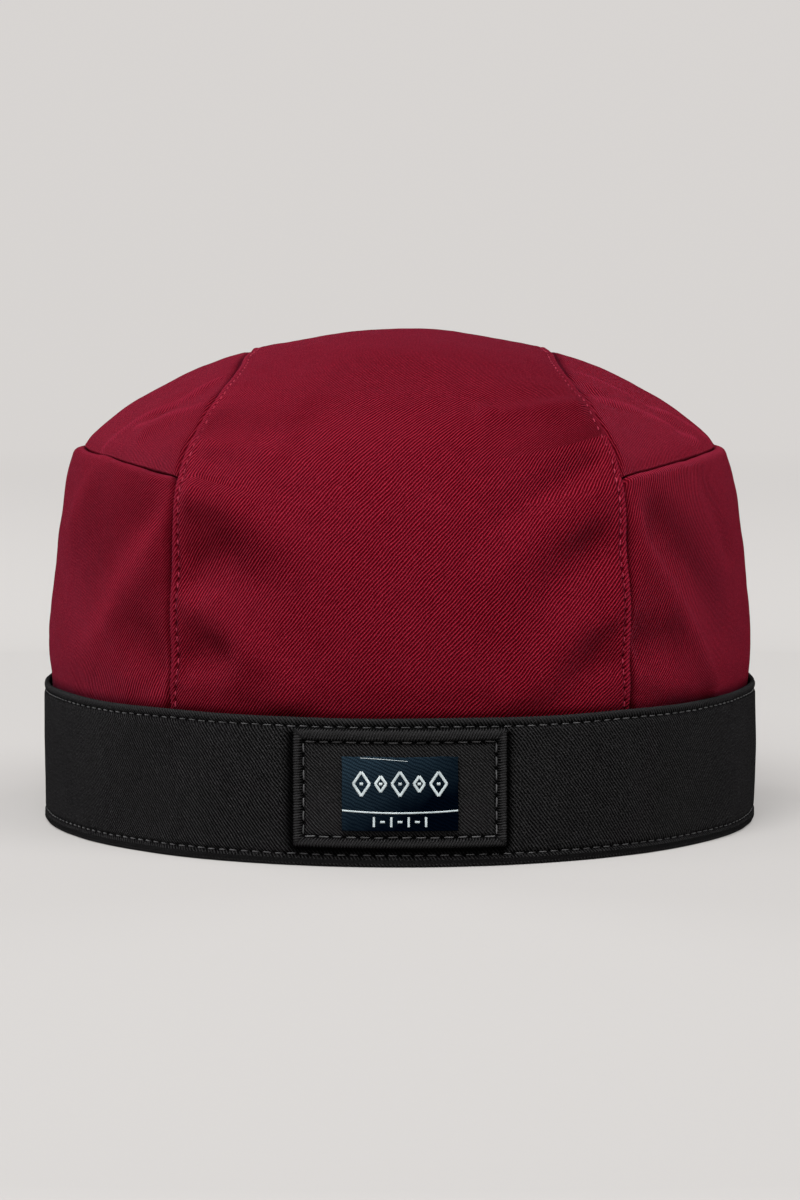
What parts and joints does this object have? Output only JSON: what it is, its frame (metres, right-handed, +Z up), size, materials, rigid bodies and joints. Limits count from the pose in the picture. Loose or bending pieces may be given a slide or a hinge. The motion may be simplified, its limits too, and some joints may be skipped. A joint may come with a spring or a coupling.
{
  "type": "chef beanie",
  "caption": "Soft chef's beanie: a panelled twill crown with a centre strip, sewn into a plain head band with a stitched label patch in front.",
  "frame": {"origin": "on the resting surface, under the middle of the hat's box, label patch included", "axes": "+Z up out of the crown, -Y towards the front where the label patch is, +X to the right seen from the front"},
  "size_m": [0.165, 0.203, 0.1128],
  "materials": {
    "crimson_twill": "matt cotton twill with a fine diagonal rib",
    "black_twill": "matt black cotton twill with a fine diagonal rib",
    "navy_label": "smooth woven label with a slight lustre"
  },
  "bodies": {
    "root": {"centre_panel": "crimson_twill", "top_panel_left": "crimson_twill", "top_panel_right": "crimson_twill", "side_panel_left": "crimson_twill", "side_panel_right": "crimson_twill", "band": "black_twill", "label_patch": "black_twill", "woven_label": "navy_label"}
  },
  "joints": []
}
